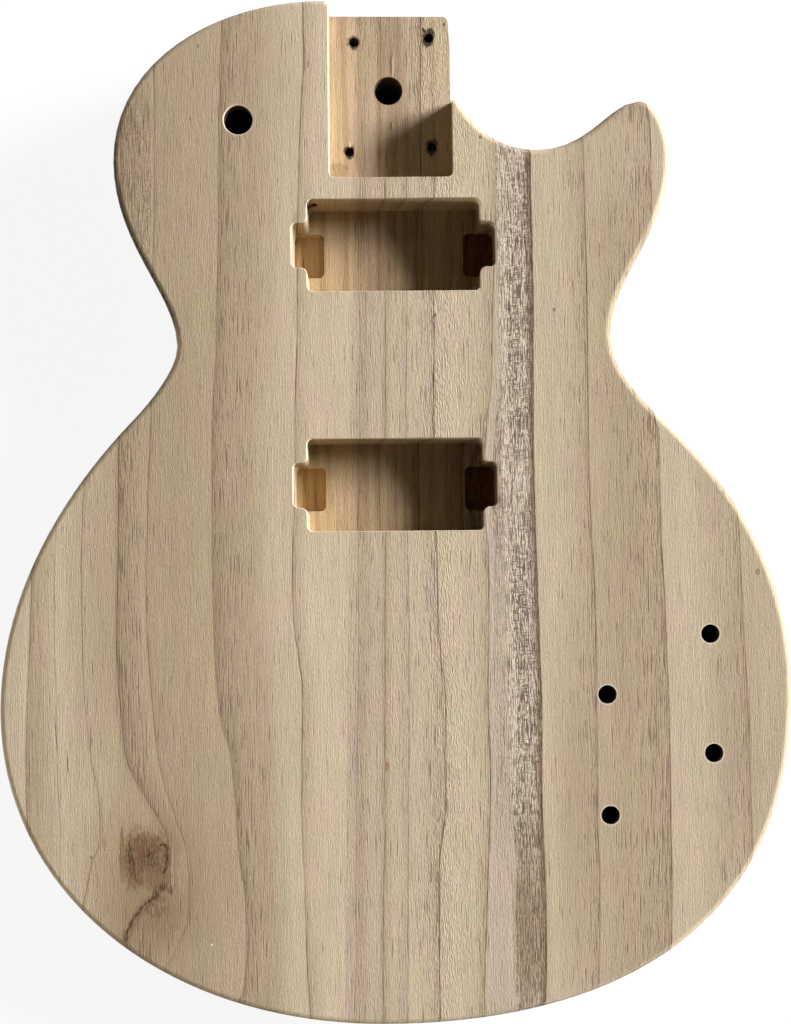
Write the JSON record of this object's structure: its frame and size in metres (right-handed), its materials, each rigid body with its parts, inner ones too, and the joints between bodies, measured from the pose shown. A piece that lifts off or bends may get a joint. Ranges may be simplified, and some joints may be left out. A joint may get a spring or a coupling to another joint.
{
  "type": "electric guitar body",
  "caption": "Bare single-cutaway solid guitar body of edge-glued boards, routed for a bolt-on neck, pickups, rear-mounted controls, a switch and a side jack.",
  "frame": {"origin": "under the middle of the flat back, so that the body lies on its back", "axes": "+X to the right as the body is seen from the front with the neck end up, +Y towards the neck, +Z out of the front face"},
  "size_m": [0.3436, 0.4445, 0.042],
  "materials": {
    "left_board_wood": "bare pale tonewood with olive and brown growth rings and one dark knot, fine sanded",
    "centre_board_wood": "bare pale tonewood with straight greyish and pinkish rings, fine sanded",
    "right_board_wood": "bare pale tonewood with a coarse lilac-grey band of open pores along its inner edge, fine sanded",
    "glue": "dried wood glue, thin amber film"
  },
  "bodies": {
    "root": {"left_board": "left_board_wood", "centre_board": "centre_board_wood", "right_board": "right_board_wood", "glue_line_left": "glue", "glue_line_left_heel": "glue", "glue_line_left_end": "glue", "glue_line_right": "glue"}
  },
  "joints": []
}
